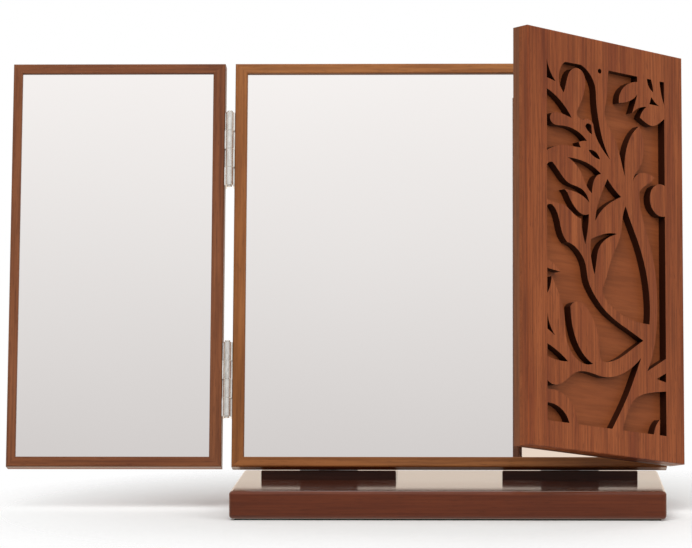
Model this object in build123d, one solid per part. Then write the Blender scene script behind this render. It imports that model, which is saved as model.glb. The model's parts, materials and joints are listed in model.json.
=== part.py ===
from build123d import *
import math
import os

os.makedirs("parts", exist_ok=True)

# Tri-fold table mirror. Sizes in millimetres, angles in degrees.
# X runs to the viewer's right, Y away from the viewer, Z up.
# The origin is the centre of the felt's underside, where the mirror stands.

# Base board and its felt
base_width = 294.0
base_depth = 165.0
base_thickness = 18.8
base_edge_radius = 2.5
felt_thickness = 1.0
felt_inset = 3.5

# Support blocks, which stand on the base and carry the tilt hinges
block_width = 93.5
block_depth = 45.0
block_height = 6.0
block_edge_radius = 0.8
block_centre_x = 83.6
block_front_overhang = 1.9
block_screw_spacing = 60.0
block_screw_setback = 34.0

# Lean of the centre panel as it stands
lean_angle = 12.3
greatest_lean = 25.0
tilt_axis_setback = 93.2
panel_below_tilt_axis = 3.2

# Centre panel
panel_width = 300.0
panel_height = 284.7
centre_frame_depth = 9.3
back_board_thickness = 8.0
centre_stile_width = 8.6
rail_width = 7.0
centre_lip = 3.0
glass_thickness = 3.0
glass_cover = 3.0
glass_edge_gap = 0.4
frame_edge_radius = 1.2
lip_edge_chamfer = 0.6
board_edge_radius = 0.9

# Wings
wing_width = 149.05
wing_frame_depth = 6.6
wing_lip = 2.0
wing_hinge_stile_width = 8.5
wing_free_stile_width = 6.5
ground_board_thickness = 2.5
fretwork_thickness = 6.05
left_wing_opening_angle = 180.0
right_wing_opening_angle = 43.84

# Wing hinges: the axis stands proud of the side faces and of the front face
wing_hinge_length = 52.0
wing_hinge_end_distance = 61.0
wing_axis_side_gap = 3.5
wing_axis_front_gap = 0.5
wing_knuckles = 4
wing_barrel_radius = 2.6
wing_leaf_thickness = 1.0
wing_leaf_reach = 14.2
wing_screw_line = 11.8
wing_screw_spacing = 17.0
wing_screw_count = 3
wing_screw_length = 10.0

# Tilt hinges
tilt_hinge_length = 40.0
tilt_axis_gap = 3.0
tilt_knuckles = 3
tilt_barrel_radius = 2.5
tilt_leaf_thickness = 1.2
tilt_leaf_reach = 18.0
tilt_screw_line = 12.0
tilt_screw_spacing = 24.0
tilt_screw_count = 2
tilt_base_screw_length = 14.0
tilt_panel_screw_length = 7.0

# Sizes that both kinds of hinge share
pin_radius = 1.2
pin_running_gap = 0.05
pin_tip_radius = 1.9
pin_tip_length = 0.9
pin_tip_edge_radius = 0.55
knuckle_gap = 0.3
knuckle_notch = 0.7
curl_width = 1.2
curl_meeting_angle = 20.0
leaf_corner_radius = 1.5

# Countersunk wood screws
screw_shank_radius = 1.1
screw_head_radius = 2.2
screw_dome = 0.45
screw_tip_length = 1.6
screw_hole_gap = 0.05
screw_slot_length = 2.6
screw_slot_width = 0.55
screw_slot_depth = 0.7
block_screw_length = 16.0
back_screw_length = 12.0
back_screw_inset = 3.6
back_screw_end_inset = 14.0
back_screw_count = 4

# Border and field of the fretwork, as seen from outside with the hinge on the right
border_free_side = 17.5
border_hinge_side = 18.05
border_bottom = 17.8
border_top = 19.9

# Limits of the drawing that the fretwork's points are typed in. It is fitted to the field.
drawn_left = 17.5
drawn_right = 131.0
drawn_bottom = 17.8
drawn_top = 264.8

# How near an edge must lie to the place it is looked for at
near = 1e-4

# Values that follow from the ones above
base_top = felt_thickness + base_thickness
block_top = base_top + block_height
tilt_axis_y = -base_depth / 2 + tilt_axis_setback
tilt_axis_z = block_top + tilt_axis_gap
centre_depth = centre_frame_depth + back_board_thickness
panel_up = Vector(0, math.sin(math.radians(lean_angle)), math.cos(math.radians(lean_angle)))
panel_front = Vector(0, -math.cos(math.radians(lean_angle)), math.sin(math.radians(lean_angle)))
tilt_axis_point = Vector(0, tilt_axis_y, tilt_axis_z)
panel_origin = (
    tilt_axis_point
    - panel_up * panel_below_tilt_axis
    + panel_front * (centre_depth + tilt_axis_gap)
)
panel_plane = Plane(origin=panel_origin, x_dir=(1, 0, 0), z_dir=panel_front)
wing_depth = wing_frame_depth + ground_board_thickness + fretwork_thickness
wing_axis_x = panel_width / 2 + wing_axis_side_gap
wing_hinge_edge_x = wing_axis_x + wing_axis_side_gap
wing_free_edge_x = wing_hinge_edge_x + wing_width
wing_hinge_heights = {
    "upper": panel_height - wing_hinge_end_distance,
    "lower": wing_hinge_end_distance,
}


def block_between(x, y, z):
    """A box between three pairs of limits."""
    size = [high - low for low, high in (x, y, z)]
    centre = [(high + low) / 2 for low, high in (x, y, z)]
    return Pos(*centre) * Box(*size)


def edges_on(shape, axis, place):
    """The straight edges that run across an axis at one place on it."""
    return ShapeList(
        edge
        for edge in shape.edges()
        if abs(tuple(edge.bounding_box().min)[axis] - place) < near
        and abs(tuple(edge.bounding_box().max)[axis] - place) < near
    )


# Screws

def screw_profile(length, grow, dome):
    """Half of a countersunk screw's outline, axis on Z, head rim at height 0."""
    shank = screw_shank_radius + grow
    head = screw_head_radius + grow
    with BuildSketch(Plane.XZ) as profile:
        with BuildLine():
            Polyline(
                (0, dome),
                (0, -length - grow),
                (shank, -length + screw_tip_length - grow),
                (shank, -(head - shank)),
                (head, 0),
            )
            if dome > 0:
                ball = (head ** 2 + dome ** 2) / (2 * dome)
                halfway = math.sqrt(ball ** 2 - (head / 2) ** 2) - (ball - dome)
                ThreePointArc((head, 0), (head / 2, halfway), (0, dome))
            else:
                Line((head, 0), (0, 0))
        make_face()
    return profile.sketch


def wood_screw(length):
    """A countersunk screw with a low oval head and a cross recess."""
    body = revolve(screw_profile(length, 0.0, screw_dome), Axis.Z)
    middle = Pos(0, 0, screw_dome - screw_slot_depth / 2)
    slots = [
        middle * Box(screw_slot_length, screw_slot_width, screw_slot_depth),
        middle * Box(screw_slot_width, screw_slot_length, screw_slot_depth),
    ]
    return body - slots


def screw_hole(length):
    """The hole for one screw, with its countersink."""
    return revolve(screw_profile(length, screw_hole_gap, 0.0), Axis.Z)


# Hinges. In a hinge's own frame the axis is Z, the leaf runs to +X and its seat is at -Y.

def knuckle_spans(length, count, first):
    """The lowest and highest point of every second knuckle, from one end."""
    step = length / count
    half_gap = knuckle_gap / 2
    return [
        (-length / 2 + step * i + half_gap, -length / 2 + step * (i + 1) - half_gap)
        for i in range(first, count, 2)
    ]


def hinge_leaf(length, count, first, barrel, seat, thickness, reach, screws):
    """A pressed leaf with its knuckles curled round the pin."""
    edge = barrel + knuckle_notch
    curl = barrel + curl_width
    meeting = math.radians(curl_meeting_angle)
    plate = block_between((edge, reach), (-seat, -seat + thickness), (-length / 2, length / 2))
    corners = edges_on(plate, 0, reach).filter_by(Axis.Y)
    leaf = fillet(corners, leaf_corner_radius)
    for low, high in knuckle_spans(length, count, first):
        web = Polyline(
            (0, -seat),
            (curl, -seat),
            (curl, -seat + thickness),
            (barrel * math.cos(meeting), -barrel * math.sin(meeting)),
            (0, 0),
            close=True,
        )
        section = make_face(web) + Circle(barrel)
        leaf += Pos(0, 0, low) * extrude(section, high - low)
    bore = Cylinder(pin_radius + pin_running_gap, 2 * length)
    holes = [place * screw_hole(screws["length"]) for place in screw_places(seat, thickness, screws)]
    return leaf - [bore] - holes


def screw_places(seat, thickness, screws):
    """Where a leaf's screws sit, in the hinge's frame."""
    middle = (screws["count"] - 1) / 2
    return [
        Plane(
            origin=(screws["line"], -seat + thickness, (i - middle) * screws["spacing"]),
            x_dir=(1, 0, 0),
            z_dir=(0, 1, 0),
        ).location
        for i in range(screws["count"])
    ]


def hinge_pin(length):
    """A plain pin with a button tip at each end."""
    shank_end = length / 2 + knuckle_gap / 2
    pin = Cylinder(pin_radius, 2 * shank_end)
    for end in (-1, 1):
        tip = Cylinder(pin_tip_radius, pin_tip_length)
        tip = fillet(tip.edges().filter_by(GeomType.CIRCLE).sort_by(Axis.Z)[0], pin_tip_edge_radius)
        turn = Rot(180, 0, 0) if end > 0 else Rot(0, 0, 0)
        pin += Pos(0, 0, end * (shank_end + pin_tip_length / 2)) * turn * tip
    return pin


wing_screws = {
    "line": wing_screw_line,
    "spacing": wing_screw_spacing,
    "count": wing_screw_count,
    "length": wing_screw_length,
}
tilt_base_screws = {
    "line": tilt_screw_line,
    "spacing": tilt_screw_spacing,
    "count": tilt_screw_count,
    "length": tilt_base_screw_length,
}
tilt_panel_screws = {**tilt_base_screws, "length": tilt_panel_screw_length}


def wing_leaf_shape():
    """One leaf of a wing hinge. The two leaves are alike and turned end for end."""
    return hinge_leaf(
        wing_hinge_length,
        wing_knuckles,
        0,
        wing_barrel_radius,
        wing_axis_side_gap,
        wing_leaf_thickness,
        wing_leaf_reach,
        wing_screws,
    )


def tilt_leaf_shape(first, screws):
    """One leaf of a tilt hinge, with the knuckles that start at number first."""
    return hinge_leaf(
        tilt_hinge_length,
        tilt_knuckles,
        first,
        tilt_barrel_radius,
        tilt_axis_gap,
        tilt_leaf_thickness,
        tilt_leaf_reach,
        screws,
    )


# Frames. In the panel's frame X runs along the panel, Y up it and Z out of its front.

def mitred_frame(left, right, left_stile, right_stile, depth, lip):
    """Four mitred pieces with a rebate behind the lip. The front face is at Z 0."""
    inner_left = left + left_stile
    inner_right = right - right_stile
    inner_top = panel_height - rail_width
    outlines = {
        "stile_left": [
            (left, 0), (inner_left, rail_width), (inner_left, inner_top), (left, panel_height)
        ],
        "stile_right": [
            (right, 0), (right, panel_height), (inner_right, inner_top), (inner_right, rail_width)
        ],
        "rail_bottom": [
            (left, 0), (right, 0), (inner_right, rail_width), (inner_left, rail_width)
        ],
        "rail_top": [
            (left, panel_height), (inner_left, inner_top), (inner_right, inner_top), (right, panel_height)
        ],
    }
    outer_edge = {
        "stile_left": (0, left),
        "stile_right": (0, right),
        "rail_bottom": (1, 0.0),
        "rail_top": (1, panel_height),
    }
    inner_edge = {
        "stile_left": (0, inner_left),
        "stile_right": (0, inner_right),
        "rail_bottom": (1, rail_width),
        "rail_top": (1, inner_top),
    }
    rebate = block_between(
        (inner_left - glass_cover, inner_right + glass_cover),
        (rail_width - glass_cover, inner_top + glass_cover),
        (-2 * depth, -lip),
    )
    pieces = {}
    for name, outline in outlines.items():
        face = make_face(Polyline(*outline, close=True))
        piece = Pos(0, 0, -depth) * extrude(face, depth)
        outer = edges_at_front(piece, *outer_edge[name])
        piece = fillet(outer, frame_edge_radius)
        inner = edges_at_front(piece, *inner_edge[name])
        piece = chamfer(inner, lip_edge_chamfer)
        pieces[name] = piece - rebate
    return pieces


def edges_at_front(shape, axis, place):
    """The edges at one place on an axis that also lie in the front face."""
    return ShapeList(edge for edge in edges_on(shape, axis, place) if abs(edge.center().Z) < near)


def sheet_in_rebate(left, right, left_stile, right_stile, front, thickness):
    """A sheet that fits the rebate of a frame, its front face at Z front."""
    margin = glass_cover - glass_edge_gap
    return block_between(
        (left + left_stile - margin, right - right_stile + margin),
        (rail_width - margin, panel_height - rail_width + margin),
        (front - thickness, front),
    )


def full_board(left, right, front, thickness, radius):
    """A board over the whole back of a frame, with its rear edges rounded."""
    board = block_between((left, right), (0, panel_height), (front - thickness, front))
    if radius > 0:
        board = fillet(edges_on(board, 2, front - thickness), radius)
    return board


# Fretwork. Points are (distance from the free edge, height), seen from outside.
# Each opening is a closed loop: a start, then runs. A run of one point is straight,
# one of two points is an arc, and a longer one is a smooth curve.
# Branches, leaves and a bud stay between the openings.

bud_centre = (127.5, 181.0)
bud_radius = 11.3
bud_reach = math.sqrt(bud_radius ** 2 - (drawn_right - bud_centre[0]) ** 2)
bud_low = (drawn_right, bud_centre[1] - bud_reach)
bud_side = (bud_centre[0] - bud_radius, bud_centre[1])
bud_high = (drawn_right, bud_centre[1] + bud_reach)
seed_hole_centre = (68.0, 263.0)
seed_hole_radius = 1.7

openings = {
    "corner_nick": [
        (drawn_left, 264.0), [(20.5, 256.0), (26.0, 249.5)], [(drawn_left, 251.0)],
    ],
    "round_leaf_gap": [
        (33.5, 243.0), [(29.0, 250.5), (30.0, 258.5), (35.0, 264.4)], [(50.0, 264.6)],
        [(58.0, 260.0), (63.4, 252.0), (64.6, 241.0), (66.6, 229.0), (70.4, 216.0), (78.0, 202.5)],
        [(68.8, 210.5), (63.8, 217.5), (61.6, 225.0)], [(57.5, 227.8), (52.0, 226.6)],
        [(45.8, 230.4), (49.6, 238.0), (53.2, 247.0), (54.2, 254.0), (51.8, 259.6), (46.5, 261.8),
         (40.0, 259.0), (36.3, 251.5), (33.5, 243.0)],
    ],
    "blunt_leaf_gap": [
        (drawn_left, 243.5), [(28.0, 238.5), (41.0, 226.5)],
        [(34.0, 227.8), (26.0, 228.2), (21.4, 226.2), (20.6, 222.8), (23.0, 220.2), (30.0, 219.7),
         (40.0, 219.6), (48.5, 217.2), (55.5, 212.5)],
        [(51.6, 212.0), (47.6, 210.6)], [(49.5, 207.2)],
        [(40.0, 207.0), (30.0, 206.2), (23.0, 203.8), (drawn_left, 201.0)],
    ],
    "small_notch": [
        (54.0, 222.5), [(56.8, 225.0), (59.8, 223.8)], [(60.4, 217.8)], [(57.2, 219.2), (54.0, 222.5)],
    ],
    "small_lens": [
        (57.0, 206.5), [(62.5, 206.6), (68.0, 201.5)], [(61.5, 203.0), (57.0, 206.5)],
    ],
    "middle_leaf_gap": [
        (37.0, 198.8), [(50.0, 198.4), (62.0, 195.4), (69.0, 191.5)],
        [(63.2, 188.0), (61.0, 183.0), (60.0, 177.0)],
        [(53.6, 183.5), (49.4, 190.5), (44.0, 195.4), (37.0, 198.8)],
    ],
    "left_leaves_gap": [
        (drawn_left, 191.0), [(20.0, 193.2), (23.0, 193.4)],
        [(30.0, 187.0), (37.0, 181.6), (47.0, 179.6), (57.5, 170.3)],
        [(47.5, 175.2), (39.0, 176.4), (34.2, 176.4)], [(36.8, 174.4)],
        [(42.0, 167.0), (50.0, 161.6), (57.2, 162.3)], [(56.0, 152.0), (53.5, 141.0)],
        [(50.8, 150.0), (49.6, 158.2)], [(42.0, 161.0), (35.5, 164.8), (27.5, 166.0), (drawn_left, 167.6)],
    ],
    "long_branch_gap": [
        (drawn_left, 163.4), [(20.0, 164.4), (22.5, 164.2)],
        [(27.5, 158.5), (31.0, 148.0), (36.5, 140.5)],
        [(47.0, 136.2), (53.6, 127.5), (56.0, 117.0), (62.0, 107.5), (73.0, 97.5), (87.0, 90.2),
         (109.0, 81.2)],
        [(97.0, 73.6), (85.5, 66.6), (73.0, 62.6)],
        [(67.6, 64.6), (66.8, 75.0), (64.0, 85.0), (58.4, 94.0), (50.5, 100.4), (44.0, 100.6),
         (39.2, 97.0)],
        [(40.8, 85.0), (45.0, 74.0), (52.0, 65.2), (60.5, 60.2)],
        [(47.5, 60.6), (39.5, 66.5), (34.5, 78.5), (33.2, 92.0), (28.6, 104.0), (21.6, 115.4)],
        [(20.4, 109.0), (drawn_left, 103.6)], [(drawn_left, 120.6)], [(30.0, 119.4)],
        [(24.4, 123.6), (drawn_left, 127.0)],
    ],
    "border_nick": [(drawn_left, 90.5), [(19.6, 83.0), (24.8, 75.6)], [(drawn_left, 79.5)]],
    "lower_dart": [
        (drawn_left, 69.5), [(26.0, 66.0), (36.8, 59.3)], [(27.0, 59.2), (drawn_left, 61.0)],
    ],
    "corner_quarter": [
        (drawn_left, 29.8), [(26.8, 28.4), (34.0, 24.0), (37.8, drawn_bottom)], [(drawn_left, drawn_bottom)],
    ],
    "root_gap": [
        (drawn_left, 44.8), [(23.6, 42.4), (32.0, 44.6), (40.0, 50.4), (47.0, 53.6), (56.0, 54.2),
                             (70.0, 52.4), (84.0, 54.6), (96.0, 60.4), (106.8, 69.2)],
        [(101.2, 57.0), (92.0, 39.0), (84.5, 27.0), (78.5, drawn_bottom)], [(45.6, drawn_bottom)],
        [(43.6, 25.6), (38.6, 33.2), (30.6, 37.6), (drawn_left, 38.6)],
    ],
    "right_root_gap": [
        (88.5, drawn_bottom), [(93.0, 30.0), (100.5, 40.2), (112.0, 45.3), (drawn_right, 48.6)],
        [(drawn_right, drawn_bottom)], [(124.2, drawn_bottom)], [(124.8, 28.6)],
        [(120.6, 23.6), (118.6, drawn_bottom)],
    ],
    "right_twig_gap": [(121.5, 56.2), [(drawn_right, 61.2)], [(drawn_right, 54.8)]],
    "trunk_left_gap": [
        (92.6, 172.4), [(97.5, 162.0), (105.0, 148.0), (111.5, 131.0), (115.2, 112.0), (115.0, 93.2)],
        [(103.0, 93.6), (92.0, 95.6), (82.0, 99.4), (74.0, 104.6), (69.8, 110.4), (72.4, 118.0),
         (75.8, 127.0), (79.4, 136.0), (84.4, 144.8), (88.0, 153.6), (89.4, 163.0), (92.6, 172.4)],
    ],
    "inner_leaf_crescent": [
        (62.2, 121.4), [(64.0, 130.0), (66.6, 140.0), (71.6, 145.8), (78.4, 149.8), (84.0, 152.0)],
        [(76.4, 151.6), (68.0, 149.2), (59.0, 145.4)], [(58.6, 136.0), (60.0, 128.0), (62.2, 121.4)],
    ],
    "fork_leaf": [
        (75.0, 189.0), [(81.0, 183.2), (88.2, 178.2)], [(79.0, 173.6), (70.0, 167.0), (63.2, 158.3)],
        [(65.4, 169.5), (70.2, 180.0), (75.0, 189.0)],
    ],
    "top_wedge": [
        (118.2, drawn_top), [(119.6, 260.6), (120.2, 256.2)], [(115.8, 259.6), (114.2, drawn_top)],
    ],
    "top_right_sliver": [
        (drawn_right, drawn_top), [(drawn_right, 248.4)], [(128.2, 256.0), (126.6, drawn_top)],
    ],
    "top_right_dart": [
        (118.4, 252.6), [(121.8, 249.4), (126.2, 247.2)], [(116.4, 247.2)], [(118.4, 252.6)],
    ],
    "crown_and_right_gap": [
        (76.6, drawn_top), [(104.6, drawn_top)], [(104.6, 261.0)],
        [(94.5, 257.6), (88.0, 251.0), (86.6, 243.6)], [(93.0, 245.0), (99.0, 247.6), (104.8, 252.6)],
        [(102.4, 246.0), (99.4, 238.4)], [(105.0, 242.4), (113.6, 244.8)],
        [(109.4, 240.8), (107.0, 236.4)],
        [(112.6, 233.6), (119.0, 232.2), (125.6, 234.8), (drawn_right, 239.0)], [bud_high],
        [bud_side, bud_low], [(drawn_right, 71.2)], [(112.6, 60.6)],
        [(118.2, 73.0), (121.6, 88.0), (122.8, 105.0), (122.2, 121.0), (119.6, 137.0), (115.0, 150.5),
         (110.4, 162.0), (107.0, 173.0), (106.0, 184.0)],
        [(110.0, 188.0), (115.6, 191.6), (121.0, 196.2)], [(112.0, 198.0), (104.4, 196.2), (99.6, 189.8)],
        [(102.6, 196.8), (107.4, 203.0), (110.4, 211.0), (110.0, 221.0), (106.0, 230.0)],
        [(98.6, 222.6), (93.8, 213.0), (91.8, 203.0), (92.2, 193.0)],
        [(88.4, 203.0), (84.8, 213.0), (79.6, 221.4), (74.8, 228.0), (72.6, 235.0), (74.6, 245.0),
         (75.4, 255.0), (76.6, drawn_top)],
    ],
}


def ornament_point(point):
    """A fretwork point fitted to the field, in the panel's frame, for the right wing laid open."""
    across = (point[0] - drawn_left) / (drawn_right - drawn_left)
    up = (point[1] - drawn_bottom) / (drawn_top - drawn_bottom)
    field_width = wing_width - border_free_side - border_hinge_side
    field_height = panel_height - border_bottom - border_top
    return (
        wing_free_edge_x - border_free_side - across * field_width,
        border_bottom + up * field_height,
    )


def opening_wire(start, *runs):
    """The closed outline of one opening."""
    edges = []
    last = start
    for run in runs:
        points = [ornament_point(p) for p in (last, *run)]
        if len(points) == 2:
            edges.append(Line(*points))
        elif len(points) == 3:
            edges.append(ThreePointArc(*points))
        else:
            edges.append(Spline(*points))
        last = run[-1]
    if last != start:
        edges.append(Line(ornament_point(last), ornament_point(start)))
    return Wire([edge for line in edges for edge in line.edges()])


def fretwork_sheet():
    """The pierced sheet, for the right wing laid open."""
    outline = Wire(
        Polyline(
            (wing_hinge_edge_x, 0),
            (wing_free_edge_x, 0),
            (wing_free_edge_x, panel_height),
            (wing_hinge_edge_x, panel_height),
            close=True,
        ).edges()
    )
    seed_place = Pos(*ornament_point(seed_hole_centre))
    seed = seed_place * Wire(CenterArc((0, 0), seed_hole_radius, 0, 360).edges())
    holes = [opening_wire(*loop) for loop in openings.values()] + [seed]
    sheet = extrude(Face(outline, holes), fretwork_thickness)
    outside = -wing_depth
    sheet = Pos(0, 0, outside) * sheet
    limits = (wing_hinge_edge_x, wing_free_edge_x)
    rim = ShapeList(
        edge
        for edge in edges_on(sheet, 2, outside)
        if edge.geom_type == GeomType.LINE and on_outline(edge, limits)
    )
    return fillet(rim, board_edge_radius)


def on_outline(edge, limits):
    """Whether an edge lies on the sheet's outer outline."""
    middle = edge.center()
    at_side = min(abs(middle.X - x) for x in limits) < near
    at_end = min(abs(middle.Y), abs(middle.Y - panel_height)) < near
    return at_side or at_end


# Base

def base_nodes():
    """The board, its felt, the blocks and what stands on them."""
    board = block_between(
        (-base_width / 2, base_width / 2),
        (-base_depth / 2, base_depth / 2),
        (felt_thickness, base_top),
    )
    board = fillet(board.edges(), base_edge_radius)
    felt = block_between(
        (-base_width / 2 + felt_inset, base_width / 2 - felt_inset),
        (-base_depth / 2 + felt_inset, base_depth / 2 - felt_inset),
        (0, felt_thickness),
    )
    nodes = {"base_felt_pad": felt}
    block_front = tilt_axis_y - block_front_overhang
    leaf_screws = []
    block_screws = []
    holes = []
    for side, sign in (("left", -1), ("right", 1)):
        centre_x = sign * block_centre_x
        block = block_between(
            (centre_x - block_width / 2, centre_x + block_width / 2),
            (block_front, block_front + block_depth),
            (base_top, block_top),
        )
        block = fillet(edges_on(block, 2, block_top), block_edge_radius)
        hinge = Plane(
            origin=(centre_x, tilt_axis_y, tilt_axis_z), x_dir=(0, 1, 0), z_dir=(1, 0, 0)
        ).location
        leaf_places = [
            hinge * place for place in screw_places(tilt_axis_gap, tilt_leaf_thickness, tilt_base_screws)
        ]
        block_places = [
            Location((centre_x + end * block_screw_spacing / 2, block_front + block_screw_setback, block_top))
            for end in (-1, 1)
        ]
        side_holes = [place * screw_hole(tilt_base_screw_length) for place in leaf_places]
        side_holes += [place * screw_hole(block_screw_length) for place in block_places]
        leaf_screws += [place * wood_screw(tilt_base_screw_length) for place in leaf_places]
        block_screws += [place * wood_screw(block_screw_length) for place in block_places]
        holes += side_holes
        nodes[f"support_block_{side}"] = block - side_holes
        nodes[f"tilt_hinge_{side}_base_leaf"] = hinge * tilt_leaf_shape(0, tilt_base_screws)
        nodes[f"tilt_hinge_{side}_pin"] = hinge * hinge_pin(tilt_hinge_length)
    nodes["base_board"] = board - holes
    nodes["tilt_hinge_base_screws"] = Compound(children=leaf_screws)
    nodes["support_block_screws"] = Compound(children=block_screws)
    return nodes


# Centre panel, in the panel's frame

def centre_nodes():
    """The centre panel with the hinge leaves and pins that ride on it."""
    half = panel_width / 2
    sides = (-half, half, centre_stile_width, centre_stile_width)
    frame = mitred_frame(*sides, centre_frame_depth, centre_lip)
    nodes = {f"centre_{name}": piece for name, piece in frame.items()}
    backing_front = -centre_lip - glass_thickness
    nodes["centre_mirror_glass"] = sheet_in_rebate(*sides, -centre_lip, glass_thickness)
    nodes["centre_backing_sheet"] = sheet_in_rebate(
        *sides, backing_front, centre_frame_depth + backing_front
    )
    board = full_board(-half, half, -centre_frame_depth, back_board_thickness, board_edge_radius)
    board_holes = []
    back_screws = []
    back_screw_step = (panel_height - 2 * back_screw_end_inset) / (back_screw_count - 1)
    for side, sign in (("left", -1), ("right", 1)):
        places = [
            Plane(
                origin=(
                    sign * (half - back_screw_inset),
                    back_screw_end_inset + i * back_screw_step,
                    -centre_depth,
                ),
                x_dir=(1, 0, 0),
                z_dir=(0, 0, -1),
            ).location
            for i in range(back_screw_count)
        ]
        holes = [place * screw_hole(back_screw_length) for place in places]
        nodes[f"centre_stile_{side}"] -= holes
        board_holes += holes
        back_screws += [place * wood_screw(back_screw_length) for place in places]
    tilt_screws = []
    for side, sign in (("left", -1), ("right", 1)):
        hinge = Plane(
            origin=(sign * block_centre_x, panel_below_tilt_axis, -centre_depth - tilt_axis_gap),
            x_dir=(0, 1, 0),
            z_dir=(-1, 0, 0),
        ).location
        places = [
            hinge * place for place in screw_places(tilt_axis_gap, tilt_leaf_thickness, tilt_panel_screws)
        ]
        board_holes += [place * screw_hole(tilt_panel_screw_length) for place in places]
        tilt_screws += [place * wood_screw(tilt_panel_screw_length) for place in places]
        nodes[f"tilt_hinge_{side}_panel_leaf"] = hinge * tilt_leaf_shape(1, tilt_panel_screws)
    side_screws = []
    for level, height in wing_hinge_heights.items():
        hinge = centre_hinge_place(height)
        places = [
            hinge * place for place in screw_places(wing_axis_side_gap, wing_leaf_thickness, wing_screws)
        ]
        holes = [place * screw_hole(wing_screw_length) for place in places]
        screws = [place * wood_screw(wing_screw_length) for place in places]
        leaf = hinge * wing_leaf_shape()
        pin = hinge * hinge_pin(wing_hinge_length)
        nodes[f"wing_hinge_right_{level}_centre_leaf"] = leaf
        nodes[f"wing_hinge_left_{level}_centre_leaf"] = mirror(leaf, Plane.YZ)
        nodes[f"wing_hinge_right_{level}_pin"] = pin
        nodes[f"wing_hinge_left_{level}_pin"] = mirror(pin, Plane.YZ)
        board_holes += holes + [mirror(hole, Plane.YZ) for hole in holes]
        side_screws += screws + [mirror(screw, Plane.YZ) for screw in screws]
    nodes["centre_back_board"] = board - board_holes
    nodes["back_board_screws"] = Compound(children=back_screws)
    nodes["tilt_hinge_panel_screws"] = Compound(children=tilt_screws)
    nodes["wing_hinge_centre_screws"] = Compound(children=side_screws)
    return nodes


def centre_hinge_place(height):
    """The frame of a right wing hinge whose leaf lies on the centre panel's side."""
    return Plane(
        origin=(wing_axis_x, height, wing_axis_front_gap), x_dir=(0, 0, -1), z_dir=(0, -1, 0)
    ).location


def wing_hinge_place(height):
    """The frame of the same hinge for the leaf on the wing's side, the wing laid open."""
    return Plane(
        origin=(wing_axis_x, height, wing_axis_front_gap), x_dir=(0, 0, -1), z_dir=(0, 1, 0)
    ).location


# Wings, made as the right wing laid fully open in line with the centre panel

def open_wing_nodes():
    """The pieces of a wing, by the last part of their names."""
    sides = (wing_hinge_edge_x, wing_free_edge_x, wing_hinge_stile_width, wing_free_stile_width)
    frame = mitred_frame(*sides, wing_frame_depth, wing_lip)
    backing_front = -wing_lip - glass_thickness
    nodes = {
        "stile_hinge_side": frame["stile_left"],
        "stile_free_side": frame["stile_right"],
        "rail_top": frame["rail_top"],
        "rail_bottom": frame["rail_bottom"],
        "mirror_glass": sheet_in_rebate(*sides, -wing_lip, glass_thickness),
        "backing_sheet": sheet_in_rebate(*sides, backing_front, wing_frame_depth + backing_front),
        "ground_board": full_board(
            wing_hinge_edge_x, wing_free_edge_x, -wing_frame_depth, ground_board_thickness, 0.0
        ),
    }
    holes = []
    screws = []
    for level, height in wing_hinge_heights.items():
        hinge = wing_hinge_place(height)
        places = [
            hinge * place for place in screw_places(wing_axis_side_gap, wing_leaf_thickness, wing_screws)
        ]
        holes += [place * screw_hole(wing_screw_length) for place in places]
        screws += [place * wood_screw(wing_screw_length) for place in places]
        nodes[f"hinge_{level}_leaf"] = hinge * wing_leaf_shape()
    nodes["fretwork_panel"] = fretwork_sheet() - holes
    nodes["hinge_screws"] = Compound(children=screws)
    return nodes


def swing(shape, opening):
    """The right wing's shape turned about its hinge, from laid open to an opening angle."""
    axis = Axis((wing_axis_x, 0, wing_axis_front_gap), (0, 1, 0))
    return shape.rotate(axis, opening - 180.0)


def wing_nodes():
    """Both wings, the left one a mirror image, each at its opening angle."""
    nodes = {}
    for name, shape in open_wing_nodes().items():
        nodes[f"right_wing_{name}"] = swing(shape, right_wing_opening_angle)
        nodes[f"left_wing_{name}"] = mirror(swing(shape, left_wing_opening_angle), Plane.YZ)
    return nodes


on_panel = {**centre_nodes(), **wing_nodes()}
all_nodes = base_nodes()
for node, shape in on_panel.items():
    all_nodes[node] = panel_plane.location * shape
for node, shape in all_nodes.items():
    export_step(shape, f"parts/{node}.step")

tilt_range = (-lean_angle, greatest_lean - lean_angle)
print("nodes", len(all_nodes))
print("tilt axis", tilt_axis_point, "range", tilt_range)
for sign in (-1, 1):
    point = panel_plane.from_local_coords((sign * wing_axis_x, 0, wing_axis_front_gap))
    print("wing axis", point, "direction", panel_up)
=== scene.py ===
"""Looks of a three-leaf table mirror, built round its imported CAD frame.

Every length is in metres and every angle in radians unless a name says otherwise.
"""

from __future__ import annotations

import json
import logging
import math
from dataclasses import dataclass, field
from enum import Enum

import bmesh
import bpy
import numpy as np
from mathutils import Matrix, Vector

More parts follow.
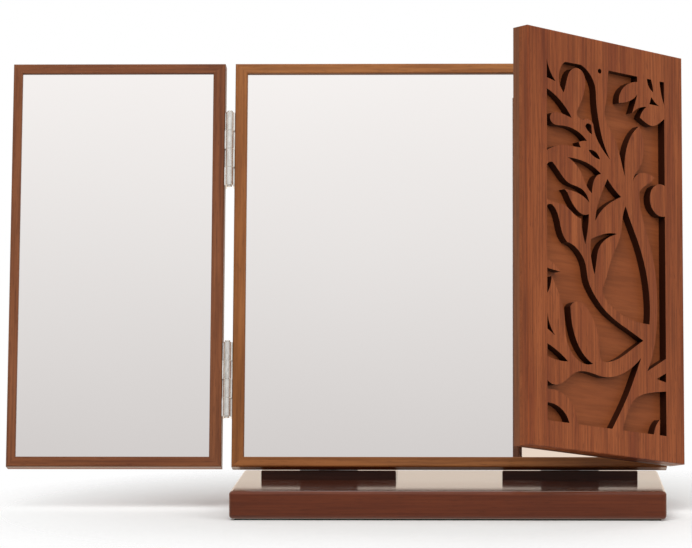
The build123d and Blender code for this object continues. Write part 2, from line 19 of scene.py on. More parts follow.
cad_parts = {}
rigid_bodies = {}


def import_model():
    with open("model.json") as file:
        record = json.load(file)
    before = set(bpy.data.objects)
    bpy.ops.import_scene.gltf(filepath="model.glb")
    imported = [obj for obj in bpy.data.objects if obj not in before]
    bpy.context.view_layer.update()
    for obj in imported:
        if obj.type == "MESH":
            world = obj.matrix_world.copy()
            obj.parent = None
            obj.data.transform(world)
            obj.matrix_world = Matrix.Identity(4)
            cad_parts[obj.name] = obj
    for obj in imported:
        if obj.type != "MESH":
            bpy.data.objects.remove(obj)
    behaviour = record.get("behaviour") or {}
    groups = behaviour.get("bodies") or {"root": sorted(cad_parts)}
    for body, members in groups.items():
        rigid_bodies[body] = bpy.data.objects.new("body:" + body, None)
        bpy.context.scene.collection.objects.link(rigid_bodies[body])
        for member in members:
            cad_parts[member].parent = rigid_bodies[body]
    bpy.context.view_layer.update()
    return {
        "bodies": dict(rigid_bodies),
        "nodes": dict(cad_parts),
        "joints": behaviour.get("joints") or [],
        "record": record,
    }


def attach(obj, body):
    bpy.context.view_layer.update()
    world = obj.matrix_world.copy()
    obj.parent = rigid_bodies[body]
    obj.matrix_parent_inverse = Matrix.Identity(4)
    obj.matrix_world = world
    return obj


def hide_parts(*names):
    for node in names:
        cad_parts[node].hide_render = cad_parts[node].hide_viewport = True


log = logging.getLogger("table_mirror")

MM = 0.001
LEAN = math.radians(12.3)
PANEL_HEIGHT = 284.7 * MM
WING_WIDTH = 149.05 * MM
UP = Vector((0.0, math.sin(LEAN), math.cos(LEAN)))
FRONT = Vector((0.0, -math.cos(LEAN), math.sin(LEAN)))
SIDEWAYS = Vector((1.0, 0.0, 0.0))
PANEL_FOOT = Vector((0.0, -9.816 * MM, 29.998 * MM))
RIGHT_OPENING = math.radians(43.84)


def linear(colour: str) -> tuple[float, float, float, float]:
    """Turn an sRGB hex value into the linear colour that a node takes.

    Args:
        colour: Six hex digits, with or without a hash.

    Returns:
        Red, green, blue and alpha.
    """
    digits = colour.lstrip("#")
    parts = [int(digits[i : i + 2], 16) / 255 for i in (0, 2, 4)]
    red, green, blue = (p / 12.92 if p <= 0.04045 else ((p + 0.055) / 1.055) ** 2.4 for p in parts)
    return (red, green, blue, 1.0)


def add_node(tree: bpy.types.NodeTree, kind: str, inputs: dict | None = None, **settings) -> bpy.types.Node:
    """Add a node with its settings, values and links.

    Args:
        tree: The tree that gets the node.
        kind: Blender's name of the node type.
        inputs: What each input gets, by name or number: a value, or a socket to link.
        **settings: Attributes of the node itself.

    Returns:
        The new node.
    """
    node = tree.nodes.new(kind)
    for name, value in settings.items():
        setattr(node, name, value)
    for key, value in (inputs or {}).items():
        if isinstance(value, bpy.types.NodeSocket):
            tree.links.new(value, node.inputs[key])
        else:
            node.inputs[key].default_value = value
    return node


class WingSide(Enum):
    """The two wings, by the viewer's left and right."""

    LEFT = -1
    RIGHT = 1


@dataclass(frozen=True)
class Stain:
    """A stained wood's colours: its dark bands, its body, its pale bands and its pores."""

    deep: str
    body: str
    pale: str
    pore: str


@dataclass(frozen=True)
class Grain:
    """How a board's grain lies: its origin, the way it runs and the way its face looks."""

    run: Vector
    face: Vector
    origin: Vector = field(default_factory=lambda: Vector((0.0, 0.0, 0.0)))

    def euler(self) -> tuple[float, float, float]:
        """Find the turn that lays X along the grain and Z out of the face.

        Returns:
            The three angles about X, Y and Z.
        """
        across = self.face.cross(self.run).normalized()
        turn = Matrix((self.run.normalized(), across, self.face.normalized())).transposed()
        return tuple(turn.to_euler("XYZ"))

    def coordinates(self, tree: bpy.types.NodeTree) -> bpy.types.NodeSocket:
        """Add the nodes that give a point's place along, across and out of the board.

        Args:
            tree: The material's tree.

        Returns:
            The place, in metres.
        """
        place = add_node(tree, "ShaderNodeTexCoord")
        inputs = {"Vector": place.outputs["Object"], "Location": self.origin, "Rotation": self.euler()}
        return add_node(tree, "ShaderNodeMapping", inputs, vector_type="TEXTURE").outputs["Vector"]


UPRIGHT = Grain(run=UP, face=FRONT)
LEVEL = Grain(run=SIDEWAYS, face=FRONT)
FLAT = Grain(run=SIDEWAYS, face=Vector((0.0, 0.0, 1.0)))


def new_material(name: str) -> tuple[bpy.types.Material, bpy.types.NodeTree, bpy.types.Node]:
    """Make an empty node material.

    Args:
        name: The material's name.

    Returns:
        The material, its tree and its Principled shader.
    """
    material = bpy.data.materials.new(name)
    material.use_nodes = True
    tree = material.node_tree
    tree.nodes.clear()
    shader = add_node(tree, "ShaderNodeBsdfPrincipled")
    add_node(tree, "ShaderNodeOutputMaterial", {"Surface": shader.outputs["BSDF"]})
    return material, tree, shader


def stretched_noise(
    tree: bpy.types.NodeTree, place: bpy.types.NodeSocket, size_mm: tuple, detail: float, bend: float = 0.0
) -> bpy.types.NodeSocket:
    """Add noise whose blotches have a given size.

    Args:
        tree: The material's tree.
        place: The coordinates to read.
        size_mm: The blotch's length, width and depth in millimetres.
        detail: How many finer layers it has.
        bend: How far the pattern warps.

    Returns:
        The noise's value.
    """
    scale = tuple(1.0 / (size * MM) for size in size_mm)
    spread = add_node(tree, "ShaderNodeMapping", {"Vector": place, "Scale": scale})
    inputs = {"Vector": spread.outputs["Vector"], "Scale": 1.0, "Detail": detail, "Distortion": bend}
    return add_node(tree, "ShaderNodeTexNoise", inputs).outputs["Fac"]


def ramp(
    tree: bpy.types.NodeTree, value: bpy.types.NodeSocket, *stops: tuple[float, str]
) -> bpy.types.NodeSocket:
    """Add a colour ramp.

    Args:
        tree: The material's tree.
        value: What the ramp reads.
        *stops: Pairs of place and hex colour, from low to high.

    Returns:
        The ramp's colour.
    """
    node = add_node(tree, "ShaderNodeValToRGB", {"Fac": value})
    elements = node.color_ramp.elements
    while len(elements) < len(stops):
        elements.new(0.5)
    for element, (position, colour) in zip(elements, stops):
        element.position = position
        element.color = linear(colour)
    return node.outputs["Color"]


def mixed(
    tree: bpy.types.NodeTree,
    factor: float | bpy.types.NodeSocket,
    first: tuple | bpy.types.NodeSocket,
    second: tuple | bpy.types.NodeSocket,
    how: str = "MIX",
) -> bpy.types.NodeSocket:
    """Add a colour mix.

    Args:
        tree: The material's tree.
        factor: The second colour's share.
        first: The first colour, a value or a socket.
        second: The second colour, a value or a socket.
        how: Blender's name of the way to mix.

    Returns:
        The mixed colour.
    """
    node = add_node(tree, "ShaderNodeMix", data_type="RGBA", blend_type=how)
    for index, value in ((0, factor), (6, first), (7, second)):
        if isinstance(value, bpy.types.NodeSocket):
            tree.links.new(value, node.inputs[index])
        else:
            node.inputs[index].default_value = value
    return node.outputs[2]


@dataclass(frozen=True)
class LacqueredWood:
    """Solid hardwood, planed, stained and sprayed with satin lacquer.

    The eye gets fine pore streaks along the grain, slow bands of lighter and darker wood,
    and a soft shine that grows strong at a low angle.
    """

    name: str
    grain: Grain
    stain: Stain
    band_mm: tuple = (190.0, 9.0, 9.0)
    streak_mm: tuple = (60.0, 1.5, 1.5)
    pore_mm: tuple = (9.0, 0.7, 0.7)
    streak_share: float = 0.5
    pore_share: float = 0.4
    roughness: float = 0.45
    coat: float = 0.35
    coat_roughness: float = 0.16
    shine: float = 0.25
    lacquer_index: float = 1.35
    relief: float = 0.12
    relief_depth: float = 0.15 * MM

    def colour(self, tree: bpy.types.NodeTree, place: bpy.types.NodeSocket) -> tuple:
        """Add the wood's colour.

        Args:
            tree: The material's tree.
            place: Coordinates along, across and out of the board.

        Returns:
            The colour and the height that the pores and streaks give.
        """
        bands = stretched_noise(tree, place, self.band_mm, 3.0, 0.5)
        streaks = stretched_noise(tree, place, self.streak_mm, 2.0, 0.2)
        pores = stretched_noise(tree, place, self.pore_mm, 1.0)
        stain = self.stain
        body = ramp(tree, bands, (0.30, stain.deep), (0.52, stain.body), (0.74, stain.pale))
        lines = ramp(tree, streaks, (0.36, "#b4a8a0"), (0.58, "#ffffff"))
        body = mixed(tree, self.streak_share, body, lines, "MULTIPLY")
        open_pore = ramp(tree, pores, (0.60, "#000000"), (0.70, "#ffffff"))
        faint = mixed(tree, self.pore_share, linear("#000000"), open_pore)
        return mixed(tree, faint, body, linear(stain.pore)), streaks

    def shaded(
        self,
        tree: bpy.types.NodeTree,
        shader: bpy.types.Node,
        colour: bpy.types.NodeSocket,
        height: bpy.types.NodeSocket,
    ) -> None:
        """Link the colour and height, and set the lacquer.

        Args:
            tree: The material's tree.
            shader: The Principled shader.
            colour: The colour's socket.
            height: The socket of the height for the bump.
        """
        inputs = {"Strength": self.relief, "Distance": self.relief_depth, "Height": height}
        bump = add_node(tree, "ShaderNodeBump", inputs)
        tree.links.new(colour, shader.inputs["Base Color"])
        tree.links.new(bump.outputs["Normal"], shader.inputs["Normal"])
        shader.inputs["Roughness"].default_value = self.roughness
        shader.inputs["Specular IOR Level"].default_value = self.shine
        shader.inputs["Coat Weight"].default_value = self.coat
        shader.inputs["Coat IOR"].default_value = self.lacquer_index
        shader.inputs["Coat Roughness"].default_value = self.coat_roughness

    def material(self) -> bpy.types.Material:
        """Build the material.

        Returns:
            The finished material.
        """
        material, tree, shader = new_material(self.name)
        colour, height = self.colour(tree, self.grain.coordinates(tree))
        self.shaded(tree, shader, colour, height)
        return material


@dataclass(frozen=True)
class LaserCutWood(LacqueredWood):
    """The same wood cut through by laser: the walls of its openings are charred nearly black."""

    char: str = "#260d05"
    wall_slope: float = 0.5
    width: float = WING_WIDTH
    height: float = PANEL_HEIGHT
    rim: float = 4 * MM

    def material(self) -> bpy.types.Material:
        """Build the material, with the char only on walls inside the rim.

        Returns:
            The finished material.
        """
        material, tree, shader = new_material(self.name)
        place = self.grain.coordinates(tree)
        colour, height = self.colour(tree, place)
        normal = add_node(tree, "ShaderNodeTexCoord").outputs["Normal"]
        facing = add_node(
            tree, "ShaderNodeVectorMath", {0: normal, 1: self.grain.face}, operation="DOT_PRODUCT"
        ).outputs["Value"]
        sloping = add_node(tree, "ShaderNodeMath", {0: facing}, operation="ABSOLUTE").outputs["Value"]
        inputs = {0: sloping, 1: self.wall_slope}
        wall = add_node(tree, "ShaderNodeMath", inputs, operation="LESS_THAN").outputs["Value"]
        axes = add_node(tree, "ShaderNodeSeparateXYZ", {"Vector": place})
        for axis, size in (("X", self.height), ("Y", self.width)):
            inputs = {0: axes.outputs[axis], 1: size / 2, 2: size / 2 - self.rim}
            inside = add_node(tree, "ShaderNodeMath", inputs, operation="COMPARE").outputs["Value"]
            inputs = {0: wall, 1: inside}
            wall = add_node(tree, "ShaderNodeMath", inputs, operation="MULTIPLY").outputs["Value"]
        self.shaded(tree, shader, mixed(tree, wall, colour, linear(self.char)), height)
        return material


@dataclass(frozen=True)
class SilveredGlass:
    """Float glass silvered on its back: a clean, faintly cool reflection."""

    name: str = "silvered float glass"
    roughness: float = 0.015

    def material(self) -> bpy.types.Material:
        """Build the material, with the slightest unevenness of real float glass.

        Returns:
            The finished material.
        """
        material, tree, shader = new_material(self.name)
        place = add_node(tree, "ShaderNodeTexCoord").outputs["Object"]
        cloud = stretched_noise(tree, place, (180.0, 180.0, 180.0), 1.0)
        tree.links.new(ramp(tree, cloud, (0.3, "#f8f5f4"), (0.7, "#faf7f6")), shader.inputs["Base Color"])
        shader.inputs["Metallic"].default_value = 1.0
        shader.inputs["Roughness"].default_value = self.roughness
        return material


@dataclass(frozen=True)
class PlatedSteel:
    """Stamped steel with a plated surface: bright, with faint lengthways drawing marks."""

    name: str
    bright: str
    dull: str
    roughness: float
    relief: float = 0.03
    relief_depth: float = 0.05 * MM

    def material(self) -> bpy.types.Material:
        """Build the material.

        Returns:
            The finished material.
        """
        material, tree, shader = new_material(self.name)
        place = add_node(tree, "ShaderNodeTexCoord").outputs["Object"]
        marks = stretched_noise(tree, place, (1.2, 1.2, 9.0), 3.0)
        spots = stretched_noise(tree, place, (5.0, 5.0, 5.0), 2.0)
        colour = ramp(tree, marks, (0.35, self.dull), (0.6, self.bright))
        tree.links.new(colour, shader.inputs["Base Color"])
        spread = add_node(
            tree,
            "ShaderNodeMapRange",
            {0: spots, 1: 0.3, 2: 0.7, 3: self.roughness * 0.8, 4: self.roughness * 1.3},
        )
        tree.links.new(spread.outputs["Result"], shader.inputs["Roughness"])
        inputs = {"Strength": self.relief, "Distance": self.relief_depth, "Height": marks}
        bump = add_node(tree, "ShaderNodeBump", inputs)
        tree.links.new(bump.outputs["Normal"], shader.inputs["Normal"])
        shader.inputs["Metallic"].default_value = 1.0
        return material


@dataclass(frozen=True)
class PressedBoard:
    """Fibreboard or wool felt: matt, with short tangled fibres and no grain."""

    name: str
    dark: str
    pale: str
    fibre_mm: float
    roughness: float = 0.9
    sheen: float = 0.0
    relief: float = 0.35
    relief_depth: float = 0.2 * MM

    def material(self) -> bpy.types.Material:
        """Build the material.

        Returns:
            The finished material.
        """
        material, tree, shader = new_material(self.name)
        place = add_node(tree, "ShaderNodeTexCoord").outputs["Object"]
        size = self.fibre_mm
        fibres = stretched_noise(tree, place, (size, size, size), 4.0, 1.2)
        tree.links.new(ramp(tree, fibres, (0.3, self.dark), (0.7, self.pale)), shader.inputs["Base Color"])
        inputs = {"Strength": self.relief, "Distance": self.relief_depth, "Height": fibres}
        bump = add_node(tree, "ShaderNodeBump", inputs)
        tree.links.new(bump.outputs["Normal"], shader.inputs["Normal"])
        shader.inputs["Roughness"].default_value = self.roughness
        shader.inputs["Sheen Weight"].default_value = self.sheen
        return material


def dress(frame: dict, finish: object, slot: str, *names: str) -> None:
    """Give CAD nodes their finish.

    Args:
        finish: An object with a material method.
        slot: The name of this finish's slot in the record; not used.
        *names: The nodes.
    """
    material = finish.material()
    for name in names:
        node = frame["nodes"][name]
        if not node.material_slots:
            node.data.materials.append(material)
        for place in node.material_slots:
            place.material = material
        log.info("dressed %s in %s", name, material.name)


NICKEL = PlatedSteel("nickel-plated steel", bright="#f5f3ef", dull="#e2dfda", roughness=0.2)
ZINC = PlatedSteel("bright zinc-plated screw steel", bright="#cfccc4", dull="#94918a", roughness=0.3)


@dataclass
class BaseAssembly:
    """The base board, its felt, the support blocks and the tilt hinges' lower leaves."""

    frame: dict
    wood: LacqueredWood = field(
        default_factory=lambda: LacqueredWood(
            name="stained and lacquered hardwood, base board",
            grain=FLAT,
            stain=Stain("#53230d", "#5e2911", "#6b3216", "#431a09"),
            streak_share=0.35,
            coat=0.95,
            coat_roughness=0.09,
        )
    )

    def build(self) -> None:
        """Dress the base's nodes."""
        dress(self.frame, self.wood, "base_wood", "base_board", "support_block_left", "support_block_right")
        felt = PressedBoard("pressed wool felt", "#17221b", "#2b3a2f", fibre_mm=0.9, sheen=0.3)
        dress(self.frame, felt, "felt", "base_felt_pad")
        metal = [f"tilt_hinge_{side}_{part}" for side in ("left", "right") for part in ("base_leaf", "pin")]
        dress(self.frame, NICKEL, "hinge_steel", *metal)


@dataclass
class CentrePanel:
    """The centre mirror in its frame, with the hinge leaves and pins on it."""

    frame: dict
    stain: Stain = Stain("#7f4c22", "#92592d", "#a2693a", "#5a3015")
    back_stain: Stain = Stain("#5f3418", "#7d4a27", "#8f5a33", "#43200d")

    def wood(self, name: str, grain: Grain) -> LacqueredWood:
        """Make the frame's wood with its grain in one direction.

        Args:
            name: The material's name.
            grain: How the grain lies.

        Returns:
            The wood.
        """
        return LacqueredWood(name, grain, self.stain)

    def build(self) -> None:
        """Dress the centre panel's nodes."""
        stiles = self.wood("lacquered hardwood, centre stiles", UPRIGHT)
        rails = self.wood("lacquered hardwood, centre rails", LEVEL)
        dress(self.frame, stiles, "frame_wood", "centre_stile_left", "centre_stile_right")
        dress(self.frame, rails, "frame_wood", "centre_rail_top", "centre_rail_bottom")
        back = LacqueredWood("lacquered back board", UPRIGHT, self.back_stain, roughness=0.5, coat=0.2)
        dress(self.frame, back, "back_wood", "centre_back_board")
        dress(self.frame, SilveredGlass(), "mirror_glass", "centre_mirror_glass")
        sheet = PressedBoard("hardboard backing sheet", "#5a4030", "#735442", fibre_mm=1.4)
        dress(self.frame, sheet, "backing_board", "centre_backing_sheet")
        leaves = [f"tilt_hinge_{side}_panel_leaf" for side in ("left", "right")]
        for side in ("left", "right"):
            for level in ("upper", "lower"):
                leaves += [f"wing_hinge_{side}_{level}_{part}" for part in ("centre_leaf", "pin")]
        dress(self.frame, NICKEL, "hinge_steel", *leaves)


@dataclass
class Wing:
    """One wing: its mirror in a frame, the ground board and the pierced sheet outside."""

    frame: dict
    side: WingSide
    opening: float
    stain: Stain = Stain("#6a3a20", "#7d492a", "#8c5635", "#4a2210")
    sheet_stain: Stain = Stain("#7c3a1b", "#8f4a24", "#a1582f", "#5c260e")
    ground_stain: Stain = Stain("#814423", "#8b4a27", "#95522d", "#6e3619")
    axis_side_gap: float = 3.5 * MM
    axis_front_gap: float = 0.5 * MM
    half_panel: float = 150.0 * MM
    depth: float = 15.15 * MM

    def outward(self) -> Vector:
        """Find the direction that the pierced face looks.

        Returns:
            A unit vector.
        """
        return FRONT * math.cos(self.opening) + SIDEWAYS * self.side.value * math.sin(self.opening)

    def along(self) -> Vector:
        """Find the direction from the hinges to the free edge.

        Returns:
            A unit vector.
        """
        return FRONT * math.sin(self.opening) - SIDEWAYS * self.side.value * math.cos(self.opening)

    def hinge_foot(self) -> Vector:
        """Find the pierced sheet's lower corner at the hinge side.

        Returns:
            The corner.
        """
        axis = PANEL_FOOT + SIDEWAYS * self.side.value * (self.half_panel + self.axis_side_gap)
        axis += FRONT * self.axis_front_gap
        return axis + self.along() * self.axis_side_gap + self.outward() * (self.axis_front_gap + self.depth)

    def sheet_grain(self) -> Grain:
        """Lay the pierced sheet's grain, from the corner where both of its places are zero.

        Returns:
            The grain.
        """
        face = self.outward()
        across = face.cross(UP)
        corner = self.hinge_foot()
        if across.dot(self.along()) < 0:
            corner = corner + self.along() * WING_WIDTH
        return Grain(run=UP, face=face, origin=corner)

    def build(self) -> None:
        """Dress the wing's nodes."""
        name = self.side.name.lower()
        level = Grain(run=self.along(), face=self.outward())
        upright = Grain(run=UP, face=self.outward())
        stiles = LacqueredWood(f"lacquered hardwood, {name} wing stiles", upright, self.stain)
        rails = LacqueredWood(f"lacquered hardwood, {name} wing rails", level, self.stain)
        parts = {
            "frame_wood": (
                (stiles, ("stile_hinge_side", "stile_free_side")),
                (rails, ("rail_top", "rail_bottom")),
            ),
            "fretwork_wood": (
                (
                    LaserCutWood(
                        f"laser-cut lacquered hardwood, {name} wing",
                        self.sheet_grain(),
                        self.sheet_stain,
                        streak_share=0.6,
                        pore_share=0.55,
                        roughness=0.5,
                        coat=0.2,
                    ),
                    ("fretwork_panel",),
                ),
            ),
            "ground_wood": (
                (
                    LacqueredWood(
                        f"stained ground board, {name} wing",
                        level,
                        self.ground_stain,
                        band_mm=(120.0, 14.0, 14.0),
                        streak_mm=(30.0, 2.0, 2.0),
                        streak_share=0.25,
                        pore_share=0.25,
                        roughness=0.6,
                        coat=0.1,
                    ),
                    ("ground_board",),
                ),
            ),
            "mirror_glass": ((SilveredGlass(f"silvered float glass, {name} wing"), ("mirror_glass",)),),
            "backing_board": (
                (
                    PressedBoard(f"hardboard backing, {name} wing", "#5a4030", "#735442", fibre_mm=1.4),
                    ("backing_sheet",),
                ),
            ),
            "hinge_steel": ((NICKEL, ("hinge_upper_leaf", "hinge_lower_leaf")),),
        }
        for slot, rows in parts.items():
            for finish, pieces in rows:
                dress(self.frame, finish, slot, *(f"{name}_wing_{piece}" for piece in pieces))


@dataclass
class ScrewMaker:
    """Countersunk screws with a cross recess, set by Geometry Nodes where the CAD has them."""

    frame: dict
    head_radius: float = 2.2 * MM
    shank_radius: float = 1.1 * MM
    dome: float = 0.45 * MM
    tip: float = 1.6 * MM
    recess_reach: float = 1.3 * MM
    recess_width: float = 0.6 * MM
    recess_depth: float = 0.95 * MM
    recess_taper: float = 0.55
    dome_steps: tuple = (0.3, 0.6, 0.85)
    around: int = 28
    weld: float = 0.005 * MM
    rim_depth: float = 0.05 * MM
    first_seed: int = 7

    def screw_mesh(self, length: float) -> bpy.types.Object:
        """Build one screw, its axis on Z and its head's rim at height zero.

        Args:
            length: From the rim to the tip.

        Returns:
            The screw's object.
        """
        ball = (self.head_radius**2 + self.dome**2) / (2 * self.dome)
        rise = [
            (r, math.sqrt(ball**2 - r**2) - (ball - self.dome))
            for r in (self.head_radius * share for share in self.dome_steps)
        ]
        profile = [(0.0, self.dome), *rise, (self.head_radius, 0.0)]
        profile += [(self.shank_radius, self.shank_radius - self.head_radius)]
        profile += [(self.shank_radius, self.tip - length), (0.0, -length)]
        mesh = bmesh.new()
        points = [mesh.verts.new((r, 0.0, z)) for r, z in profile]
        edges = [mesh.edges.new(pair) for pair in zip(points, points[1:])]
        bmesh.ops.spin(
            mesh,
            geom=points + edges,
            cent=(0, 0, 0),
            axis=(0, 0, 1),
            angle=2 * math.pi,
            steps=self.around,
            use_merge=True,
        )
        bmesh.ops.remove_doubles(mesh, verts=mesh.verts, dist=self.weld)
        bmesh.ops.recalc_face_normals(mesh, faces=mesh.faces)
        screw = self.as_object(mesh, "screw_blank")
        cutter = self.recess_cutter()
        cut = screw.modifiers.new("recess", "BOOLEAN")
        cut.operation = "DIFFERENCE"
        cut.solver = "EXACT"
        cut.object = cutter
        graph = bpy.context.evaluated_depsgraph_get()
        finished = bpy.data.meshes.new_from_object(screw.evaluated_get(graph))
        screw.modifiers.clear()
        screw.data = finished
        bpy.data.objects.remove(cutter)
        return screw

    def recess_cutter(self) -> bpy.types.Object:
        """Build the tapered cross that cuts the recess.

        Returns:
            The cutter.
        """
        reach, half = self.recess_reach, self.recess_width / 2
        arm = [(reach, -half), (reach, half), (half, half)]
        outline = [
            (x * c - y * s, x * s + y * c) for c, s in ((1, 0), (0, 1), (-1, 0), (0, -1)) for x, y in arm
        ]
        mesh = bmesh.new()
        top = [mesh.verts.new((x, y, self.dome * 2)) for x, y in outline]
        taper, floor = self.recess_taper, self.dome - self.recess_depth
        low = [mesh.verts.new((x * taper, y * taper, floor)) for x, y in outline]
        mesh.faces.new(top)
        mesh.faces.new(low[::-1])
        for i in range(len(outline)):
            j = (i + 1) % len(outline)
            mesh.faces.new((top[j], top[i], low[i], low[j]))
        bmesh.ops.recalc_face_normals(mesh, faces=mesh.faces)
        return self.as_object(mesh, "recess_cutter")

    def as_object(self, mesh: bmesh.types.BMesh, name: str) -> bpy.types.Object:
        """Turn a bmesh into a linked object.

        Args:
            mesh: The bmesh, freed afterwards.
            name: The object's name.

        Returns:
            The object.
        """
        data = bpy.data.meshes.new(name)
        mesh.to_mesh(data)
        mesh.free()
        made = bpy.data.objects.new(name, data)
        bpy.context.scene.collection.objects.link(made)
        return made

    def seats(self, node: str) -> tuple[list[Vector], list[Vector], float]:
        """Find where a CAD node's screws sit.

        Args:
            node: The name of a node that is a group of screws.

        Returns:
            The middle of each head's rim, the way each head looks, and the screws' length.
        """
        mesh = bmesh.new()
        mesh.from_mesh(self.frame["nodes"][node].data)
        bmesh.ops.remove_doubles(mesh, verts=mesh.verts, dist=self.weld)
        left = set(mesh.faces)
        places, ways, lengths = [], [], []
        # The screws are taken in the mesh's own order, so that each run turns them the same way.
        for first in mesh.faces:
            if first not in left:
                continue
            left.discard(first)
            stack = [first]
            island = []
            while stack:
                face = stack.pop()
                island.append(face)
                for vertex in face.verts:
                    joined = [other for other in vertex.link_faces if other in left]
                    left.difference_update(joined)
                    stack.extend(joined)
            place, axis, length = self.seat_of(island)
            places.append(place)
            ways.append(axis)
            lengths.append(length)
        mesh.free()
        return places, ways, sum(lengths) / len(lengths)

    def seat_of(self, faces: list) -> tuple[Vector, Vector, float]:
        """Find one screw's axis from its surface, however that is split into triangles.

        Args:
            faces: The screw's faces.

        Returns:
            The middle of the head's rim, the way the head looks, and the length.
        """
        areas = np.array([face.calc_area() for face in faces])
        middles = np.array([face.calc_center_median() for face in faces])
        middle = areas @ middles / areas.sum()
        spread = np.sqrt(areas)[:, None] * (middles - middle)
        axis = np.linalg.svd(spread, full_matrices=False)[2][0]
        cloud = np.array([vertex.co for face in faces for vertex in face.verts]) - middle
        along = cloud @ axis
        off = np.linalg.norm(cloud - np.outer(along, axis), axis=1)
        rim = along[off > off.max() - self.rim_depth].mean()
        if rim < 0:
            axis, along, rim = -axis, -along, -rim
        return Vector(middle + rim * axis), Vector(axis), float(rim - along.min())

    def setting_tree(self) -> bpy.types.NodeTree:
        """Build the tree that sets a screw on each point, turned at random about its own axis.

        Returns:
            The tree.
        """
        tree = bpy.data.node_groups.new("set screws", "GeometryNodeTree")
        face = tree.interface
        face.new_socket("Geometry", in_out="INPUT", socket_type="NodeSocketGeometry")
        face.new_socket("Screw", in_out="INPUT", socket_type="NodeSocketObject")
        face.new_socket("Size", in_out="INPUT", socket_type="NodeSocketFloat")
        face.new_socket("Seed", in_out="INPUT", socket_type="NodeSocketInt")
        face.new_socket("Finish", in_out="INPUT", socket_type="NodeSocketMaterial")
        face.new_socket("Geometry", in_out="OUTPUT", socket_type="NodeSocketGeometry")
        given = add_node(tree, "NodeGroupInput").outputs
        shape = add_node(tree, "GeometryNodeObjectInfo", {"Object": given["Screw"]}).outputs["Geometry"]
        way = add_node(tree, "GeometryNodeInputNamedAttribute", {"Name": "way"}, data_type="FLOAT_VECTOR")
        aim = add_node(
            tree, "FunctionNodeAlignRotationToVector", {"Vector": way.outputs["Attribute"]}, axis="Z"
        ).outputs["Rotation"]
        turn = add_node(tree, "FunctionNodeRandomValue", {"Seed": given["Seed"]}, data_type="FLOAT")
        turn.inputs[3].default_value = math.pi / 2
        inputs = {"Axis": (0, 0, 1), "Angle": turn.outputs[1]}
        spin = add_node(tree, "FunctionNodeAxisAngleToRotation", inputs)
        both = add_node(
            tree,
            "FunctionNodeRotateRotation",
            {"Rotation": aim, "Rotate By": spin.outputs["Rotation"]},
            rotation_space="LOCAL",
        ).outputs["Rotation"]
        inputs = {"Points": given["Geometry"], "Instance": shape, "Rotation": both, "Scale": given["Size"]}
        placed = add_node(tree, "GeometryNodeInstanceOnPoints", inputs).outputs["Instances"]
        real = add_node(tree, "GeometryNodeRealizeInstances", {"Geometry": placed}).outputs["Geometry"]
        inputs = {"Geometry": real, "Material": given["Finish"]}
        finished = add_node(tree, "GeometryNodeSetMaterial", inputs).outputs["Geometry"]
        add_node(tree, "NodeGroupOutput", {"Geometry": finished})
        return tree

    def build(self) -> None:
        """Replace each CAD group of screws by detailed ones."""
        tree = self.setting_tree()
        names = {item.name: item.identifier for item in tree.interface.items_tree if item.in_out == "INPUT"}
        finish = ZINC.material()
        groups = {
            "back_board_screws": "centre_panel",
            "support_block_screws": "base",
            "tilt_hinge_base_screws": "base",
            "tilt_hinge_panel_screws": "centre_panel",
            "wing_hinge_centre_screws": "centre_panel",
            "left_wing_hinge_screws": "left_wing",
            "right_wing_hinge_screws": "right_wing",
        }
        for number, (node, body) in enumerate(groups.items()):
            places, ways, length = self.seats(node)
            screw = self.screw_mesh(length)
            data = bpy.data.meshes.new(f"{node}_seats")
            data.from_pydata([tuple(p) for p in places], [], [])
            attribute = data.attributes.new("way", "FLOAT_VECTOR", "POINT")
            attribute.data.foreach_set("vector", [value for way in ways for value in way])
            holder = bpy.data.objects.new(f"{node}_detailed", data)
            bpy.context.scene.collection.objects.link(holder)
            setter = holder.modifiers.new("set screws", "NODES")
            setter.node_group = tree
            choices = {"Screw": screw, "Size": 1.0, "Seed": self.first_seed + number, "Finish": finish}
            for name, value in choices.items():
                setter[names[name]] = value
            graph = bpy.context.evaluated_depsgraph_get()
            baked = bpy.data.meshes.new_from_object(holder.evaluated_get(graph))
            holder.modifiers.clear()
            holder.data = baked
            baked.name = holder.name
            bpy.data.objects.remove(screw)
            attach(holder, body)
            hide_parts(node)
            log.info("set %d screws for %s", len(places), node)


@dataclass(frozen=True)
class Lamp:
    """One soft square lamp: where it hangs, the side of its face and its power."""

    name: str
    place: tuple
    size: float
    watts: float


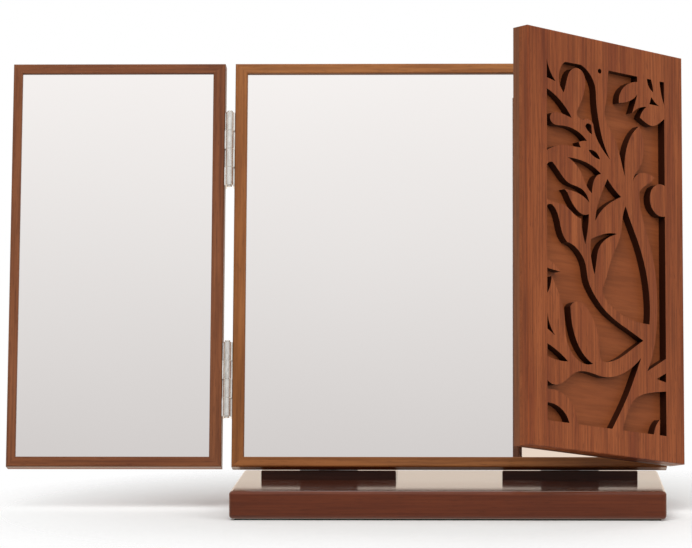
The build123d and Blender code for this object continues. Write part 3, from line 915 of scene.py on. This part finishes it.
@dataclass
class Studio:
    """The floor, the soft lights, the surroundings and the camera."""

    camera_place: tuple = (0.0373, -2.9070, 0.2800)
    yaw: float = math.radians(1.728)
    pitch: float = math.radians(-2.01)
    roll: float = math.radians(0.09)
    focal_px: float = 4218.6
    centre_px: tuple = (375.7, 251.72)
    image_px: tuple = (692, 548)
    sensor_mm: float = 36.0
    far: float = 50.0
    middle: tuple = (0.0, 0.0, 0.15)
    ambient: float = 0.42
    floor_half: float = 4.0
    floor_solid: float = 0.17
    floor_gone: float = 0.36
    lamps: tuple = (
        Lamp("key lamp", (-0.4, -2.1, 2.2), 1.6, 54.0),
        Lamp("fill lamp", (1.7, -1.7, 1.2), 1.4, 16.0),
        Lamp("rear lamp", (0.3, 1.9, 1.7), 1.6, 26.0),
    )

    def camera(self) -> None:
        """Place the camera where the photograph was taken from."""
        turn = Matrix.Rotation(self.yaw, 3, "Z") @ Matrix.Rotation(self.pitch, 3, "X")
        turn = turn @ Matrix.Rotation(self.roll, 3, "Y")
        right, ahead, up = (turn.col[i] for i in range(3))
        data = bpy.data.cameras.new("camera")
        data.sensor_width = self.sensor_mm
        data.sensor_fit = "HORIZONTAL"
        data.lens = self.focal_px * self.sensor_mm / self.image_px[0]
        data.shift_x = -(self.centre_px[0] - self.image_px[0] / 2) / self.image_px[0]
        data.shift_y = (self.centre_px[1] - self.image_px[1] / 2) / self.image_px[0]
        data.clip_end = self.far
        camera = bpy.data.objects.new("camera", data)
        bpy.context.scene.collection.objects.link(camera)
        axes = Matrix((right, up, -ahead)).transposed().to_4x4()
        camera.matrix_world = Matrix.Translation(self.camera_place) @ axes
        bpy.context.scene.camera = camera

    def hang(self, lamp: Lamp) -> None:
        """Add one lamp that looks at the object's middle.

        Args:
            lamp: The lamp.
        """
        data = bpy.data.lights.new(lamp.name, "AREA")
        data.shape = "SQUARE"
        data.size = lamp.size
        data.energy = lamp.watts
        hung = bpy.data.objects.new(lamp.name, data)
        bpy.context.scene.collection.objects.link(hung)
        hung.location = lamp.place
        hung.rotation_euler = (Vector(self.middle) - Vector(lamp.place)).to_track_quat("-Z", "Y").to_euler()
        hung.visible_glossy = False

    def world(self) -> None:
        """Surround the object: plain soft light, and a white room with a darker camera side for gloss."""
        world = bpy.data.worlds.new("studio")
        bpy.context.scene.world = world
        world.use_nodes = True
        tree = world.node_tree
        tree.nodes.clear()
        path = add_node(tree, "ShaderNodeLightPath").outputs
        way = add_node(tree, "ShaderNodeTexCoord").outputs["Generated"]
        axes = add_node(tree, "ShaderNodeSeparateXYZ", {"Vector": way}).outputs
        steep = add_node(tree, "ShaderNodeMapRange", {0: axes["Z"], 1: -1.0, 2: 1.0}).outputs["Result"]
        height = ramp(
            tree,
            steep,
            (0.0, "#dddcda"),
            (0.26, "#cfcecc"),
            (0.43, "#8f8c8a"),
            (0.5, "#8f8c8a"),
            (0.6, "#a09d9b"),
            (0.6675, "#d6d4d3"),
            (0.6915, "#ecebea"),
            (0.715, "#fefdfc"),
        )
        behind = add_node(
            tree, "ShaderNodeMapRange", {0: axes["Y"], 1: -0.35, 2: 0.15, 3: 0.0, 4: 1.0}
        ).outputs["Result"]
        room = mixed(tree, behind, height, linear("#ffefde"))
        inputs = {0: path["Is Glossy Ray"], 1: path["Is Transmission Ray"]}
        gloss = add_node(tree, "ShaderNodeMath", inputs, operation="MAXIMUM").outputs["Value"]
        seen = mixed(tree, gloss, linear("#ffffff"), room)
        shown = add_node(
            tree, "ShaderNodeMath", {0: gloss, 1: path["Is Camera Ray"]}, operation="MAXIMUM"
        ).outputs["Value"]
        inputs = {"Color": linear("#ffffff"), "Strength": self.ambient}
        plain = add_node(tree, "ShaderNodeBackground", inputs)
        picture = add_node(tree, "ShaderNodeBackground", {"Color": seen, "Strength": 1.0})
        inputs = {0: shown, 1: plain.outputs[0], 2: picture.outputs[0]}
        either = add_node(tree, "ShaderNodeMixShader", inputs)
        add_node(tree, "ShaderNodeOutputWorld", {"Surface": either.outputs[0]})

    def floor(self) -> None:
        """Lay a pale floor that fades into the white room."""
        mesh = bmesh.new()
        bmesh.ops.create_grid(mesh, x_segments=1, y_segments=1, size=self.floor_half)
        data = bpy.data.meshes.new("floor")
        mesh.to_mesh(data)
        mesh.free()
        floor = bpy.data.objects.new("floor", data)
        bpy.context.scene.collection.objects.link(floor)
        material, tree, shader = new_material("matt white studio card")
        shader.inputs["Base Color"].default_value = linear("#f4f4f3")
        shader.inputs["Roughness"].default_value = 0.9
        shader.inputs["Specular IOR Level"].default_value = 0.1
        place = add_node(tree, "ShaderNodeTexCoord").outputs["Object"]
        reach = add_node(tree, "ShaderNodeVectorMath", {0: place}, operation="LENGTH").outputs["Value"]
        fade = add_node(tree, "ShaderNodeMapRange", {0: reach, 1: self.floor_solid, 2: self.floor_gone})
        clear = add_node(tree, "ShaderNodeBsdfTransparent")
        both = add_node(
            tree,
            "ShaderNodeMixShader",
            {0: fade.outputs["Result"], 1: shader.outputs["BSDF"], 2: clear.outputs[0]},
        )
        output = next(node for node in tree.nodes if node.type == "OUTPUT_MATERIAL")
        tree.links.new(both.outputs[0], output.inputs["Surface"])
        data.materials.append(material)
        floor.visible_glossy = False

    def build(self) -> None:
        """Set up everything round the object."""
        self.camera()
        self.world()
        self.floor()
        for lamp in self.lamps:
            self.hang(lamp)
        bpy.context.scene.view_settings.view_transform = "Standard"


def main() -> None:
    """Build the whole scene round the CAD frame."""
    logging.basicConfig(level=logging.INFO, format="%(name)s: %(message)s")
    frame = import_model()
    BaseAssembly(frame).build()
    CentrePanel(frame).build()
    Wing(frame, WingSide.LEFT, math.pi).build()
    Wing(frame, WingSide.RIGHT, RIGHT_OPENING).build()
    ScrewMaker(frame).build()
    Studio().build()


if __name__ == "__main__":
    main()
